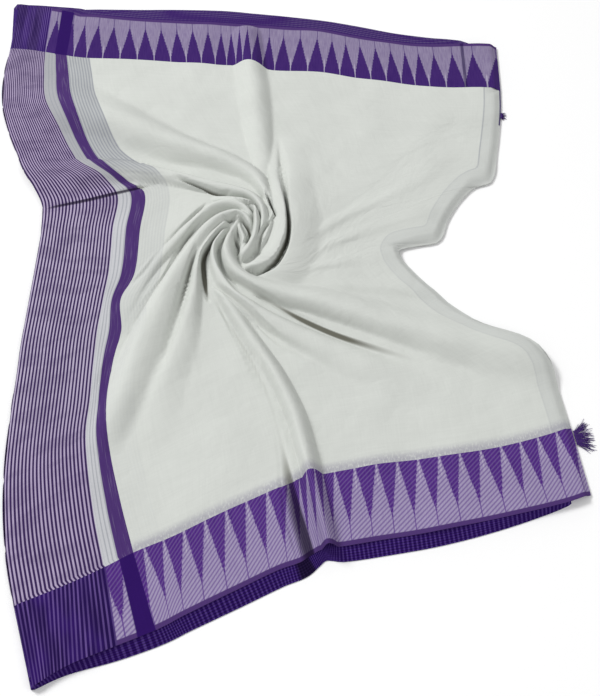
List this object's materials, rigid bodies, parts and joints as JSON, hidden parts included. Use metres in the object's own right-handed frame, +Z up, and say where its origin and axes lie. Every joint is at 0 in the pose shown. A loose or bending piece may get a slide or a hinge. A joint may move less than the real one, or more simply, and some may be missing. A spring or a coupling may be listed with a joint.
{
  "type": "folded saree",
  "caption": "Handloom cotton saree folded flat in layers, its top layer pinched and turned into a swirl, with patterned borders and a striped end.",
  "frame": {"origin": "middle of the floor area that the folded saree covers, at the level of its flat underside", "axes": "+Z up; +Y across the cloth's width, from the near selvedge to the far one; +X along the saree, from the folded striped end to the cut end"},
  "size_m": [0.8358, 1.097, 0.0409],
  "materials": {
    "hidden_layers": "plain woven cotton, edges of folded layers",
    "body_cloth": "off-white plain woven cotton, matt",
    "near_border_cloth": "purple and lilac woven cotton border with a triangle pattern",
    "far_border_cloth": "purple and lilac woven cotton border with a triangle pattern",
    "striped_cloth": "fine purple and lilac stripes woven in cotton",
    "threads": "loose purple cotton threads"
  },
  "bodies": {
    "root": {"folded_layers": "hidden_layers", "body_field": "body_cloth", "near_border": "near_border_cloth", "far_border": "far_border_cloth", "striped_end": "striped_cloth", "near_end_threads": "threads", "far_end_threads": "threads"}
  },
  "joints": []
}
